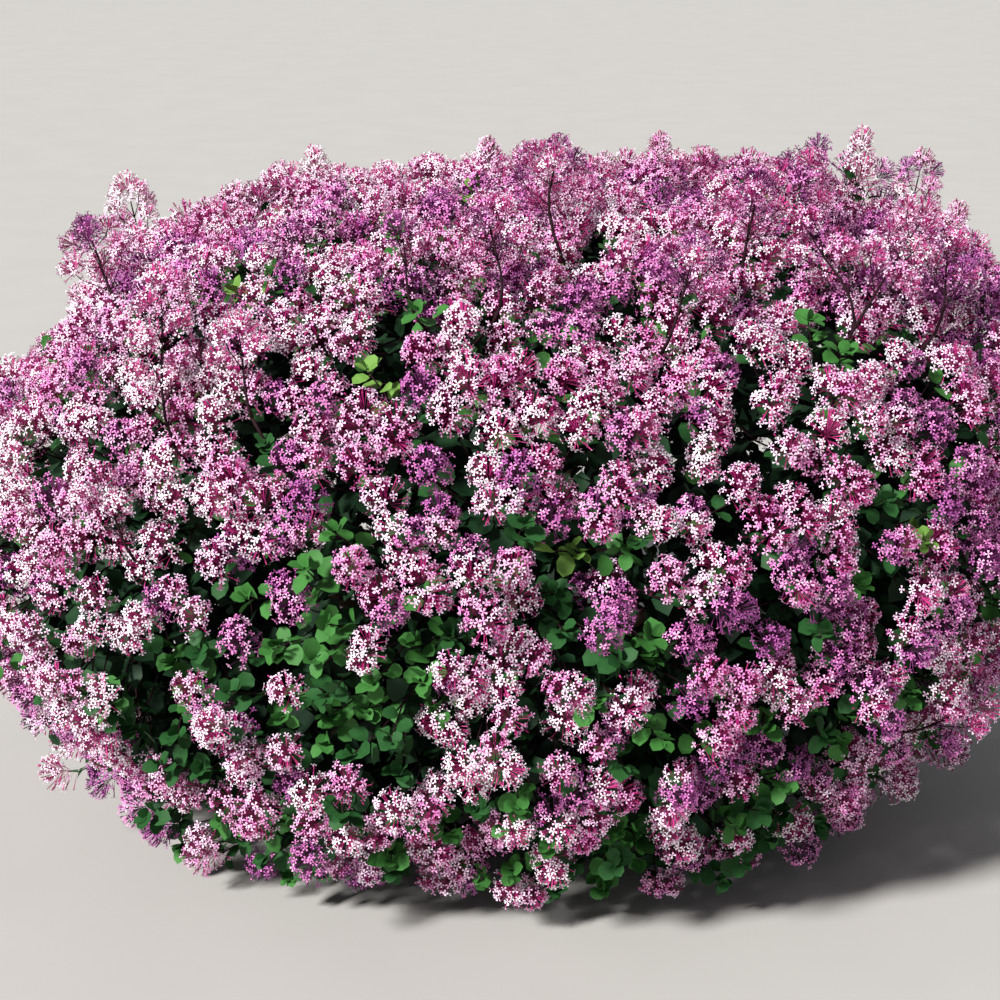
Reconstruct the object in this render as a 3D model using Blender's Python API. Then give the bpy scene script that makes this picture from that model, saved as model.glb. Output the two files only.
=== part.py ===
"""A dwarf lilac in full flower: a low, wide, rounded shrub.

Metres, Z up, the origin in the flat cut under the main stem, and the photo's viewer on the -Y side.
One short main stem carries one bough to each mass of blossom and leaves. Each mass is one solid: a
dense core, and the forked twigs that stand out of it with their panicles and leaves.
"""

import collections
import math
import random

import bmesh
import bpy
import numpy as np

# The crown: a flat topped dome, widest below half its height, narrower again at the ground, with its top
# leaning a little towards +X.
DOME_HEIGHT = 1.15
HALF_SPREAD = 0.98
HALF_DEPTH = 0.93
WIDEST_HEIGHT = 0.50
UPPER_POWER = 3.0
LOWER_POWER = 1.25
PLAN_POWER = 2.2
FOOT_SHARE = 0.58
CROWN_LEAN = 0.09
GROUND_CLEARANCE = 0.010
MIDDLE = np.array((0.0, 0.0, 0.42))
UP = np.array((0.0, 0.0, 1.0))
NEARLY_UPRIGHT = 0.9

# The masses in rings: name, count, elevation seen from the crown's middle, first azimuth (degrees).
RINGS = (
    ("top", 1, 90, 0),
    ("upper", 5, 50, 54),
    ("middle", 7, 17, 12),
    ("low", 7, -20, 38),
)
MASS_CENTRE_SHARE = 0.68
MASS_BULGE = 0.04

# The dense core of a mass, between an inner and an outer copy of the dome.
CORE_OUTER_SHARE = 0.90
CORE_INNER_SHARE = 0.48
CORE_CORNERS = 64
CORE_WALL_GAP = 0.007
CORE_GROUND_GAP = 0.03
CORE_ROUNDING = 16
CORE_WOBBLE = 0.13
CORE_MOST_REACH = 0.50

# The main stem: flared at the ground, with one stub for each bough.
STEM_SIDES = 15
STEM_LOBES = 5
STEM_FLARE = 0.12
STEM_RINGS = ((0.0, 0.092), (0.018, 0.074), (0.045, 0.062), (0.085, 0.057), (0.125, 0.050), (0.150, 0.030))
STEM_HEAD = np.array((0.012, 0.0, 0.090))
STUB_ROOT = 0.015
STUB_REACH = 0.112
STUB_FOOT_RADIUS = 0.0175

# The boughs.
LIMB_SIDES = 6
BOUGH_FOOT_RADIUS = 0.0140
BOUGH_TIP_RADIUS = 0.0080
BOUGH_SEGMENTS = 5
BOUGH_LIFT = 12
BOUGH_FALL = 9
BEND_PULL = 0.36
JOINT_GAP = 0.0003

# A mass's own stem, and the twigs that fork from it.
MASS_STEM_OUT = 0.030
MASS_STEM_TIP_RADIUS = 0.005
TWIG_SIDES = 3
TWIG_FOOT_RADIUS = 0.0050
TWIG_FORK_RADIUS = 0.0042
TWIG_TIP_RADIUS = 0.0030
FORK_DEPTH = 0.24
MOST_FORK_SHARE = 0.6
TWIG_START_SHARE = 0.45

# Panicles and leaves, larger than life because there are fewer of them.
TIP_LATTICE = 270
PANICLE_LENGTH = 0.150
PANICLE_RADIUS = 0.056
PANICLE_SIDES = 5
PANICLE_LOW_RING = 0.22
PANICLE_HIGH_RING = 0.60
PANICLE_HIGH_WIDTH = 0.82
LEAF_LENGTH = 0.088
LEAF_WIDTH = 0.060
LEAF_THICKNESS = 0.0026
LEAF_BROADEST = 0.46
LEAF_SINK = 0.0015
LEAF_SPREAD = 62
LEAF_STAGGER = 0.006
SHOOT_NODE_GAP = 0.035
TERMINAL_OVERLAP = 0.1
TIP_JITTER = 0.035
UPRIGHT_SHARE = 0.55
LEAFY_HEIGHT = 0.55
LEAFY_SHARE = 0.55
LEAST_LEAFY = 0.05
BARE_SHARE = 1.25
SPIRE_UPRIGHT = 5
CELL_GAP = 0.004
LIMB_GAP = 0.005
CHECKS_PER_SEGMENT = 8
MOST_SHIFTS = 5
SHIFT_STEP = 0.022

# The tall upright panicles that stand up from the top: place across, place in depth, tip height.
SPIRES = (
    (-0.70, 0.02, 1.03),
    (-0.32, 0.06, 1.16),
    (-0.02, 0.10, 1.17),
    (0.11, -0.02, 1.16),
    (0.28, 0.09, 1.18),
    (0.55, 0.05, 1.15),
    (0.63, 0.08, 1.19),
    (0.79, 0.02, 1.07),
)
# The low sprays that reach out near the ground: azimuth and elevation in degrees, reach share.
LOW_SPRAYS = ((203, -17, 1.06), (340, -15, 1.05))

SEED = 41
MOST_ATTEMPTS = 6
SHAKE = 0.0002
TOUCH_DISTANCE = 0.0000001
GOLDEN_ANGLE = math.pi * (3 - math.sqrt(5))
MARCH_STEP = 0.004
FARTHEST = 2.0

BARK_COLOUR = (0.115, 0.075, 0.058, 1.0)
BLOSSOM_COLOUR = (0.62, 0.36, 0.52, 1.0)
LEAF_COLOUR = (0.16, 0.26, 0.11, 1.0)
BARK_ROUGHNESS = 0.85
LEAF_ROUGHNESS = 0.7


def unit(vector):
    return vector / np.linalg.norm(vector)


def heading(azimuth, elevation):
    """The unit vector for an azimuth from +X towards +Y and an elevation, in degrees."""
    turn = math.radians(azimuth)
    rise = math.radians(elevation)
    return np.array((math.cos(turn) * math.cos(rise), math.sin(turn) * math.cos(rise), math.sin(rise)))


def side_axes(axis):
    """Two unit vectors square to the axis and to each other."""
    reference = UP if abs(axis[2]) < NEARLY_UPRIGHT else np.array((1.0, 0.0, 0.0))
    first = unit(np.cross(axis, reference))
    return first, np.cross(axis, first)


def sphere_lattice(count):
    """Unit vectors spread evenly over a sphere along a golden spiral."""
    steps = np.arange(count) + 0.5
    height = 1 - 2 * steps / count
    ring = np.sqrt(1 - height**2)
    turn = GOLDEN_ANGLE * steps
    return np.stack((ring * np.cos(turn), ring * np.sin(turn), height), axis=1)


def dome_share(height):
    """The crown's half width at a height, as a share of its widest."""
    above = np.clip((height - WIDEST_HEIGHT) / (DOME_HEIGHT - WIDEST_HEIGHT), 0, 1)
    below = np.clip((WIDEST_HEIGHT - height) / WIDEST_HEIGHT, 0, 1)
    upper = (1 - above**UPPER_POWER) ** (1 / UPPER_POWER)
    lower = FOOT_SHARE + (1 - FOOT_SHARE) * (1 - below**LOWER_POWER) ** (1 / LOWER_POWER)
    return np.where(height > WIDEST_HEIGHT, upper, lower)


def inside_dome(points, scale):
    """Which points lie in the dome once it is scaled about the crown's middle."""
    full = MIDDLE + (points - MIDDLE) / scale
    lean = CROWN_LEAN * np.clip((full[..., 2] - WIDEST_HEIGHT) / (DOME_HEIGHT - WIDEST_HEIGHT), 0, 1)
    across = np.abs(full[..., 0] - lean) / HALF_SPREAD
    deep = np.abs(full[..., 1]) / HALF_DEPTH
    return across**PLAN_POWER + deep**PLAN_POWER <= dome_share(full[..., 2]) ** PLAN_POWER


def first_distance(origin, direction, test, most):
    """How far along the direction the test first holds."""
    steps = np.arange(MARCH_STEP, most, MARCH_STEP)
    found = test(origin + steps[:, None] * direction)
    return steps[found.argmax()] if found.any() else most


def crown_reach(direction):
    return first_distance(MIDDLE, direction, lambda points: ~inside_dome(points, 1.0), FARTHEST)


def stitch(low, low_count, high, high_count):
    """Faces between two rings of corners, which may have different numbers of corners."""
    if low_count == high_count:
        turns = [(side, (side + 1) % low_count) for side in range(low_count)]
        return [(low + side, low + beside, high + beside, high + side) for side, beside in turns]
    faces = []
    low_side = 0
    high_side = 0
    while low_side < low_count or high_side < high_count:
        low_corner = low + low_side % low_count
        high_corner = high + high_side % high_count
        if (low_side + 1) * high_count <= (high_side + 1) * low_count:
            low_side += 1
            if low_count > 1:
                faces.append((low_corner, low + low_side % low_count, high_corner))
        else:
            high_side += 1
            if high_count > 1:
                faces.append((low_corner, high + high_side % high_count, high_corner))
    return faces


def tube(path, radii, sides):
    """A closed limb along a path, as corners and faces. A ring with one side is a point."""
    path = np.asarray(path)
    corners = []
    faces = []
    starts = []
    along = unit(path[1] - path[0])
    first = side_axes(along)[0]
    for step, (point, radius, count) in enumerate(zip(path, radii, sides)):
        if 0 < step < len(path) - 1:
            along = unit(unit(path[step] - path[step - 1]) + unit(path[step + 1] - path[step]))
        elif step:
            along = unit(path[step] - path[step - 1])
        first = unit(first - along * (first @ along))
        second = np.cross(along, first)
        starts.append(len(corners))
        for side in range(count):
            turn = 2 * math.pi * side / count
            offset = math.cos(turn) * first + math.sin(turn) * second
            corners.append(point + radius * offset * (count > 1))
    for step in range(len(path) - 1):
        faces += stitch(starts[step], sides[step], starts[step + 1], sides[step + 1])
    if sides[0] > 1:
        faces.append(tuple(range(sides[0] - 1, -1, -1)))
    if sides[-1] > 1:
        faces.append(tuple(range(starts[-1], starts[-1] + sides[-1])))
    return np.array(corners), faces


def leaf(root, direction, facing):
    """A leaf of eight faces, thickest at its middle, with its root sunk behind the given point."""
    facing = unit(facing - direction * (facing @ direction))
    across = np.cross(facing, direction)
    start = root - direction * LEAF_SINK
    broadest = start + direction * LEAF_LENGTH * LEAF_BROADEST
    corners = (
        start,
        broadest + across * LEAF_WIDTH / 2,
        start + direction * LEAF_LENGTH,
        broadest - across * LEAF_WIDTH / 2,
        broadest + facing * LEAF_THICKNESS / 2,
        broadest - facing * LEAF_THICKNESS / 2,
    )
    faces = []
    for edge in range(4):
        follows = (edge + 1) % 4
        faces.append((follows, edge, 4))
        faces.append((edge, follows, 5))
    return np.array(corners), faces


def place_object(name, corners, faces, collection):
    """Makes an object of the corners and faces, facing out."""
    mesh = bpy.data.meshes.new(name)
    mesh.from_pydata([tuple(corner) for corner in corners], [], faces)
    shape = bmesh.new()
    shape.from_mesh(mesh)
    bmesh.ops.recalc_face_normals(shape, faces=shape.faces)
    shape.to_mesh(mesh)
    shape.free()
    item = bpy.data.objects.new(name, mesh)
    collection.objects.link(item)
    return item


def give_material(item, colour, roughness):
    material = bpy.data.materials.new(item.name + "_material")
    material.use_nodes = True
    shader = material.node_tree.nodes["Principled BSDF"]
    shader.inputs["Base Color"].default_value = colour
    shader.inputs["Roughness"].default_value = roughness
    item.data.materials.clear()
    item.data.materials.append(material)


def keep_main_body(item):
    """Drops loose scraps and fills sealed hollows: only the largest closed surface stays."""
    shape = bmesh.new()
    shape.from_mesh(item.data)
    bmesh.ops.triangulate(shape, faces=shape.faces)
    waiting = set(shape.faces)
    bodies = []
    while waiting:
        grown = {waiting.pop()}
        edge_of_growth = list(grown)
        while edge_of_growth:
            face = edge_of_growth.pop()
            for edge in face.edges:
                for other in edge.link_faces:
                    if other in waiting:
                        waiting.discard(other)
                        grown.add(other)
                        edge_of_growth.append(other)
        bodies.append(grown)

    def volume(body):
        total = 0.0
        for face in body:
            first, second, third = (corner.co for corner in face.verts)
            total += first.dot(second.cross(third))
        return total

    bodies.sort(key=volume, reverse=True)
    for body in bodies[1:]:
        bmesh.ops.delete(shape, geom=list(body), context="FACES")
    shape.to_mesh(item.data)
    shape.free()


def touches_itself(mesh):
    """Whether two edges of the mesh lie in the same place, as where two leaves meet along a line."""
    places = {}
    merged = []
    for corner in mesh.vertices:
        key = tuple(round(value / TOUCH_DISTANCE) for value in corner.co)
        merged.append(places.setdefault(key, len(places)))
    uses = collections.Counter()
    for face in mesh.polygons:
        ring = [merged[corner] for corner in face.vertices]
        for start, end in zip(ring, ring[1:] + ring[:1]):
            if start != end:
                uses[(min(start, end), max(start, end))] += 1
    return any(count != 2 for count in uses.values())


def union_with(item, pieces):
    """Joins the pieces to the item by one union on their collection, then removes them."""
    helpers = bpy.data.collections.new(item.name + "_pieces")
    bpy.context.scene.collection.children.link(helpers)
    for number, (corners, faces) in enumerate(pieces):
        place_object(f"{item.name}_piece_{number}", corners, faces, helpers)
    union = item.modifiers.new("fuse", "BOOLEAN")
    union.operation = "UNION"
    union.operand_type = "COLLECTION"
    union.collection = helpers
    union.solver = "EXACT"
    bpy.context.view_layer.update()
    graph = bpy.context.evaluated_depsgraph_get()
    joined = bpy.data.meshes.new_from_object(item.evaluated_get(graph))
    item.modifiers.clear()
    for helper in list(helpers.objects):
        bpy.data.objects.remove(helper, do_unlink=True)
    bpy.data.collections.remove(helpers)
    return joined


def fuse(item, limbs, pieces, chance):
    """Makes the item, its limbs and its pieces one solid.

    A solid that touches itself is made again with its pieces shaken a little. The limbs keep their place.
    """
    first_shape = item.data
    for attempt in range(MOST_ATTEMPTS):
        item.data = union_with(item, limbs + pieces)
        keep_main_body(item)
        if not touches_itself(item.data) or attempt == MOST_ATTEMPTS - 1:
            break
        item.data = first_shape
        shake = SHAKE * (attempt + 1)
        shaken = []
        for corners, faces in pieces:
            offset = np.array([chance.uniform(-shake, shake) for _ in range(3)])
            shaken.append((corners + offset, faces))
        pieces = shaken


def arc(start, start_heading, end, end_heading, count):
    """Points along a smooth bend between two places, leaving and arriving in the given headings."""
    length = np.linalg.norm(end - start)
    second = start + start_heading * length * BEND_PULL
    third = end - end_heading * length * BEND_PULL
    share = np.linspace(0, 1, count + 1)[:, None]
    rest = 1 - share
    return rest**3 * start + 3 * rest**2 * share * second + 3 * rest * share**2 * third + share**3 * end


class Mass:
    """One mass of blossom and leaves, the bough that carries it, and the space that it keeps to."""

    def __init__(self, name, azimuth, elevation, chance):
        self.name = name
        direction = heading(azimuth, elevation)
        self.reach = 1 + MASS_BULGE * chance.uniform(-1, 1)
        self.centre = MIDDLE + direction * crown_reach(direction) * MASS_CENTRE_SHARE
        line = unit(self.centre - STEM_HEAD)
        slope = math.degrees(math.asin(line[2]))
        turn = math.degrees(math.atan2(line[1], line[0]))
        flatness = math.cos(math.radians(slope))
        self.start_heading = heading(turn, slope + BOUGH_LIFT * flatness)
        self.end_heading = heading(turn, slope - BOUGH_FALL * flatness)
        self.start = STEM_HEAD + self.start_heading * STUB_REACH


def wall_distances(mass, masses):
    """The headings and distances of the walls between a mass's space and its neighbours'."""
    apart = np.array([other.centre - mass.centre for other in masses if other is not mass])
    length = np.linalg.norm(apart, axis=1)
    return apart / length[:, None], length / 2


def core_corner_distance(mass, direction, walls):
    """How far the core reaches from the mass's centre, rounded off between its limits."""
    headings, halves = walls
    outer = CORE_OUTER_SHARE * mass.reach
    inner = CORE_INNER_SHARE
    limits = [
        CORE_MOST_REACH,
        first_distance(mass.centre, direction, lambda points: ~inside_dome(points, outer), FARTHEST),
        first_distance(mass.centre, direction, lambda points: inside_dome(points, inner), FARTHEST),
    ]
    if direction[2] < 0:
        limits.append((mass.centre[2] - CORE_GROUND_GAP) / -direction[2])
    for wall, half in zip(headings, halves):
        facing = wall @ direction
        if facing > 0:
            limits.append((half - CORE_WALL_GAP) / facing)
    return sum(limit**-CORE_ROUNDING for limit in limits) ** (-1 / CORE_ROUNDING)


def core_shape(mass, walls, chance):
    """The dense core: a rounded, slightly uneven body that fills the inner part of the mass's space."""
    directions = sphere_lattice(CORE_CORNERS)
    hull = bmesh.new()
    for direction in directions:
        hull.verts.new(tuple(direction))
    bmesh.ops.convex_hull(hull, input=hull.verts)
    hull.verts.index_update()
    faces = [tuple(corner.index for corner in face.verts) for face in hull.faces]
    order = [np.array(corner.co) for corner in hull.verts]
    hull.free()
    corners = []
    for direction in order:
        distance = core_corner_distance(mass, direction, walls)
        corners.append(mass.centre + direction * distance * (1 - CORE_WOBBLE * chance.random()))
    return np.array(corners), faces


def in_space(points, mass, walls, boughs):
    """Whether the points keep to the mass's own space, above the ground and clear of the boughs."""
    headings, halves = walls
    along = (points - mass.centre) @ headings.T
    if (halves - along).min() < CELL_GAP or points[:, 2].min() < GROUND_CLEARANCE:
        return False
    places, radii = boughs
    apart = np.linalg.norm(points[:, None, :] - places[None, :, :], axis=2)
    return (apart - radii).min() > LIMB_GAP


def tip_targets(masses, chance):
    """Where each twig tip reaches and how it points, shared out to the masses by nearness."""
    shares = {mass.name: [] for mass in masses}

    def share_out(tip, axis, is_leafy, is_bare):
        nearest = min(masses, key=lambda mass: np.linalg.norm(mass.centre - tip))
        shares[nearest.name].append((tip, axis, is_leafy, is_bare))

    for direction in sphere_lattice(TIP_LATTICE):
        distance = crown_reach(direction)
        tip = MIDDLE + direction * distance * (1 - TIP_JITTER * chance.random())
        axis = unit(direction + UP * UPRIGHT_SHARE)
        leafiness = LEAFY_SHARE * np.clip((LEAFY_HEIGHT - tip[2]) / LEAFY_HEIGHT, 0, 1)
        is_leafy = chance.random() < leafiness + LEAST_LEAFY
        is_bare = chance.random() < BARE_SHARE * tip[2] / DOME_HEIGHT
        if tip[2] > GROUND_CLEARANCE + PANICLE_RADIUS:
            share_out(tip, axis, is_leafy, is_bare)
    for across, deep, height in SPIRES:
        upright = unit(UP * SPIRE_UPRIGHT + np.array((across, deep, 0.0)))
        share_out(np.array((across, deep, height)), upright, False, True)
    for azimuth, elevation, share in LOW_SPRAYS:
        direction = heading(azimuth, elevation)
        tip = MIDDLE + direction * crown_reach(direction) * share
        share_out(tip, unit(direction + UP * UPRIGHT_SHARE), False, False)
    return shares


def pair_up(tips):
    """Puts each tip with its nearest free neighbour, as lilac twigs fork in twos."""
    waiting = list(tips)
    pairs = []
    while waiting:
        first = waiting.pop(0)
        if waiting:
            place = min(range(len(waiting)), key=lambda index: np.linalg.norm(waiting[index][0] - first[0]))
            pairs.append((first, waiting.pop(place)))
        else:
            pairs.append((first,))
    return pairs


def leaf_pair(node, axis, turn, room):
    """Two opposite leaves at a place on a twig, where there is room for each."""
    first, second = side_axes(axis)
    side = math.cos(turn) * first + math.sin(turn) * second
    spread = math.radians(LEAF_SPREAD)
    made = []
    for sign in (1, -1):
        direction = unit(axis * math.cos(spread) + side * sign * math.sin(spread))
        shape = leaf(node + axis * sign * LEAF_STAGGER / 2, direction, axis)
        if room(shape[0]):
            made.append(shape)
    return made


def tip_pieces(fork, tip, axis, is_leafy, is_bare, turn, room):
    """One prong of a fork: a twig that ends in a panicle, or in leaves alone."""
    if is_leafy:
        end = tip - axis * LEAF_LENGTH * (1 - TERMINAL_OVERLAP)
        leaves = leaf_pair(end - axis * SHOOT_NODE_GAP, axis, turn, room)
        terminal = leaf(end - axis * LEAF_LENGTH * TERMINAL_OVERLAP, axis, side_axes(axis)[0])
        if room(terminal[0]):
            leaves.append(terminal)
        prong = tube((fork, end), (TWIG_FORK_RADIUS, TWIG_TIP_RADIUS), (TWIG_SIDES, TWIG_SIDES))
        return [prong] + leaves if leaves and room(prong[0]) else []
    neck = tip - axis * PANICLE_LENGTH
    lower = neck + axis * PANICLE_LENGTH * PANICLE_LOW_RING
    upper = neck + axis * PANICLE_LENGTH * PANICLE_HIGH_RING
    radii = (TWIG_FORK_RADIUS, TWIG_TIP_RADIUS, PANICLE_RADIUS, PANICLE_RADIUS * PANICLE_HIGH_WIDTH, 0)
    sides = (TWIG_SIDES, TWIG_SIDES, PANICLE_SIDES, PANICLE_SIDES, 1)
    prong = tube((fork, neck, lower, upper, tip), radii, sides)
    if not room(prong[0]):
        return []
    along = unit(neck - fork)
    return [prong] + ([] if is_bare else leaf_pair(neck - along * LEAF_STAGGER, along, turn, room))


def fitted_tip(fork, target, mass, turn, room):
    """Tries a tip where it belongs, then shifted step by step towards the mass's own middle."""
    tip, axis, is_leafy, is_bare = target
    inward = mass.centre - tip
    inward = inward - axis * (inward @ axis)
    pieces = []
    for shift in range(MOST_SHIFTS):
        length = np.linalg.norm(inward)
        moved = tip + inward * min(1.0, SHIFT_STEP * shift / length)
        pieces = tip_pieces(fork, moved, axis, is_leafy, is_bare, turn, room)
        if pieces:
            break
    return pieces


def build_mass(mass, masses, tips, boughs, chance):
    """One mass as one solid: core, own stem, forked twigs, panicles and leaves."""
    walls = wall_distances(mass, masses)
    corners, faces = core_shape(mass, walls, chance)
    core = place_object("blossom_" + mass.name, corners, faces, bpy.context.scene.collection)
    root = mass.tip + mass.end_heading * JOINT_GAP
    limb_sides = (LIMB_SIDES, LIMB_SIDES)
    stem = tube((root, mass.centre), (BOUGH_TIP_RADIUS, MASS_STEM_TIP_RADIUS), limb_sides)
    pieces = []

    def room(points):
        return in_space(points, mass, walls, boughs)

    for pair in pair_up(tips):
        middle = sum(target[0] - target[1] * PANICLE_LENGTH for target in pair) / len(pair)
        inward = unit(mass.centre - middle)
        fork = middle + inward * min(FORK_DEPTH, MOST_FORK_SHARE * np.linalg.norm(mass.centre - middle))
        start = root + (mass.centre - root) * (TWIG_START_SHARE + (1 - TWIG_START_SHARE) * chance.random())
        prongs = []
        for target in pair:
            prongs += fitted_tip(fork, target, mass, chance.uniform(0, math.pi), room)
        if prongs:
            beyond = fork + unit(fork - start) * TWIG_FORK_RADIUS
            twig_sides = (TWIG_SIDES, TWIG_SIDES)
            pieces.append(tube((start, beyond), (TWIG_FOOT_RADIUS, TWIG_FORK_RADIUS), twig_sides))
            pieces += prongs
    fuse(core, [stem], pieces, chance)
    is_low = mass.name.startswith("low")
    give_material(core, LEAF_COLOUR if is_low else BLOSSOM_COLOUR, LEAF_ROUGHNESS)


def build_bough(mass):
    """One tapering limb, from its stub on the main stem to its mass's own stem."""
    start = mass.start + mass.start_heading * JOINT_GAP
    path = arc(start, mass.start_heading, mass.tip, mass.end_heading, BOUGH_SEGMENTS)
    path[1] = start + mass.start_heading * ((path[1] - start) @ mass.start_heading)
    path[-2] = mass.tip + mass.end_heading * ((path[-2] - mass.tip) @ mass.end_heading)
    radii = np.linspace(BOUGH_FOOT_RADIUS, BOUGH_TIP_RADIUS, BOUGH_SEGMENTS + 1)
    corners, faces = tube(path, radii, (LIMB_SIDES,) * len(path))
    bough = place_object("bough_" + mass.name, corners, faces, bpy.context.scene.collection)
    bough.data.shade_smooth()
    give_material(bough, BARK_COLOUR, BARK_ROUGHNESS)
    return path, radii


def build_main_stem(masses, chance):
    """The short stem: a flat cut at the ground, root flare, taper and lean, and a stub for each bough."""
    corners = []
    faces = []
    for height, radius in STEM_RINGS:
        fade = 1 - height / STEM_RINGS[-1][0]
        for side in range(STEM_SIDES):
            turn = 2 * math.pi * side / STEM_SIDES
            width = radius * (1 + STEM_FLARE * fade**3 * math.cos(STEM_LOBES * turn))
            lean = STEM_HEAD[0] * min(1.0, height / STEM_HEAD[2])
            corners.append((width * math.cos(turn) + lean, width * math.sin(turn), height))
    for ring in range(len(STEM_RINGS) - 1):
        for side in range(STEM_SIDES):
            near = ring * STEM_SIDES + side
            beside = ring * STEM_SIDES + (side + 1) % STEM_SIDES
            faces.append((near, beside, beside + STEM_SIDES, near + STEM_SIDES))
    faces.append(tuple(range(STEM_SIDES - 1, -1, -1)))
    last = (len(STEM_RINGS) - 1) * STEM_SIDES
    faces.append(tuple(range(last, last + STEM_SIDES)))
    stem = place_object("main_stem", corners, faces, bpy.context.scene.collection)
    stubs = []
    for mass in masses:
        foot = STEM_HEAD + mass.start_heading * STUB_ROOT
        radii = (STUB_FOOT_RADIUS, BOUGH_FOOT_RADIUS)
        stubs.append(tube((foot, mass.start), radii, (LIMB_SIDES, LIMB_SIDES)))
    fuse(stem, stubs, [], chance)
    stem.data.shade_smooth()
    give_material(stem, BARK_COLOUR, BARK_ROUGHNESS)


def build_shrub():
    for item in list(bpy.data.objects):
        bpy.data.objects.remove(item, do_unlink=True)
    chance = random.Random(SEED)
    masses = []
    for name, count, elevation, azimuth in RINGS:
        for number in range(count):
            label = name if count == 1 else f"{name}_{number + 1}"
            masses.append(Mass(label, azimuth + 360 * number / count, elevation, chance))
    for mass in masses:
        walls = wall_distances(mass, masses)
        inward = core_corner_distance(mass, -mass.end_heading, walls)
        mass.tip = mass.centre - mass.end_heading * (inward + MASS_STEM_OUT)
    build_main_stem(masses, chance)
    places = []
    widths = []
    for mass in masses:
        path, radii = build_bough(mass)
        for share in np.linspace(0, BOUGH_SEGMENTS, CHECKS_PER_SEGMENT * BOUGH_SEGMENTS + 1):
            step = min(int(share), BOUGH_SEGMENTS - 1)
            part = share - step
            places.append(path[step] * (1 - part) + path[step + 1] * part)
            widths.append(radii[step])
    boughs = (np.array(places), np.array(widths))
    targets = tip_targets(masses, chance)
    for mass in masses:
        build_mass(mass, masses, targets[mass.name], boughs, chance)


build_shrub()
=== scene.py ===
"""The looks of a dwarf lilac in full flower: bark, forking twigs, leaves and panicles around its solids.

Metres, Z up, the origin in the flat cut under the main stem, and the photo's viewer on the -Y side.
The crown, its masses, its boughs and its forking follow the rule of the part's source, and are carried
on here to finer twigs with their panicles and leaves.
"""

import math
import random

import bpy
import numpy as np
from mathutils import Matrix, Vector, kdtree, noise
from numpy.linalg import norm


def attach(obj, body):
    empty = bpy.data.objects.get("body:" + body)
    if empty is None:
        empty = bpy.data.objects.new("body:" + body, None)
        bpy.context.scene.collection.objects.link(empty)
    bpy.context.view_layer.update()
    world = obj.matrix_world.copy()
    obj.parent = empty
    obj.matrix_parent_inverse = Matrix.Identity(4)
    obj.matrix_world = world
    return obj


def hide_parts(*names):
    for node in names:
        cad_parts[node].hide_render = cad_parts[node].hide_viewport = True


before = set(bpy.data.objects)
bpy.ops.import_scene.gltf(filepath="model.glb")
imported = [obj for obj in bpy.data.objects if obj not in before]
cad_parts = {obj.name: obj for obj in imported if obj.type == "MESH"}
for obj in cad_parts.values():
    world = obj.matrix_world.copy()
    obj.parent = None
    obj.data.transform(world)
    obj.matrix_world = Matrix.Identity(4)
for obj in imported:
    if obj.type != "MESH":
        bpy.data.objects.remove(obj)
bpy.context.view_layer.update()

# The photo's view.
CAMERA_PLACE = (0.0, -3.79, 1.63)
CAMERA_AIM = (0.0, 0.0, 0.54)
LENS = 80
SENSOR = 36
PHOTO_SIDE = 1000
MOST_SIGHT = 6.0
SWELL_DEPTH_SHARE = 0.35

# The crown, as in the source: a flat topped dome, narrower again at the ground.
DOME_HEIGHT = 1.15
HALF_SPREAD = 0.98
HALF_DEPTH = 0.93
WIDEST_HEIGHT = 0.50
UPPER_POWER = 3.0
LOWER_POWER = 1.25
PLAN_POWER = 2.2
FOOT_SHARE = 0.58
CROWN_LEAN = 0.09
MIDDLE = np.array((0.0, 0.0, 0.42))
UP = np.array((0.0, 0.0, 1.0))
NEARLY_UPRIGHT = 0.9

# The masses in rings, as in the source: name, count, elevation from the crown's middle, first azimuth.
RINGS = (
    ("top", 1, 90, 0),
    ("upper", 5, 50, 54),
    ("middle", 7, 17, 12),
    ("low", 7, -20, 38),
)
MASS_CENTRE_SHARE = 0.68
MASS_BULGE = 0.04
CORE_OUTER_SHARE = 0.90
CORE_INNER_SHARE = 0.48
CORE_WALL_GAP = 0.007
CORE_GROUND_GAP = 0.03
CORE_ROUNDING = 16
CORE_MOST_REACH = 0.50
SOURCE_SEED = 41
MARCH_STEP = 0.004
FARTHEST = 2.0

# The main stem and the boughs, as in the source.
STEM_LOBES = 5
STEM_FLARE = 0.12
STEM_RINGS = ((0.0, 0.092), (0.018, 0.074), (0.045, 0.062), (0.085, 0.057), (0.125, 0.050), (0.150, 0.030))
STEM_HEAD = np.array((0.012, 0.0, 0.090))
STUB_ROOT = 0.015
STUB_REACH = 0.112
STUB_FOOT_RADIUS = 0.0175
BOUGH_FOOT_RADIUS = 0.0140
BOUGH_TIP_RADIUS = 0.0080
BOUGH_LIFT = 12
BOUGH_FALL = 9
BEND_PULL = 0.36
JOINT_GAP = 0.0003
MASS_STEM_OUT = 0.030
MASS_STEM_TIP_RADIUS = 0.005
TWIG_START_SHARE = 0.45
MOST_FORK_SHARE = 0.6

# The bark's relief.
STEM_SIDES = 60
STEM_RING_STEP = 0.004
STEM_VOXEL = 0.0050
STEM_RELIEF = 0.0028
LIMB_SIDES = 12
LIMB_STEPS = 36
MASS_STEM_STEPS = 11
LIMB_RELIEF = 0.10
RELIEF_TURNS = 2.6
RELIEF_ALONG = 26
RELIEF_OFFSET = 50
# The noise's smoothness, the step between its octaves and how many it has.
RELIEF_NOISE = (0.8, 2.1, 3)
STEM_RELIEF_AROUND = 9
STEM_RELIEF_OUT = 12

# Where the twigs end.
SEED = 7
LATTICE = 30000
SIDE_SPACING = 0.0495
LOW_SPACING = 0.058
TOP_SPACING = 0.071
TOP_SPACING_POWER = 4
LOWEST_TIP = 0.072
INNER_LAYERS = ((0.82, 0.082), (0.62, 0.092), (0.42, 0.10))
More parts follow.
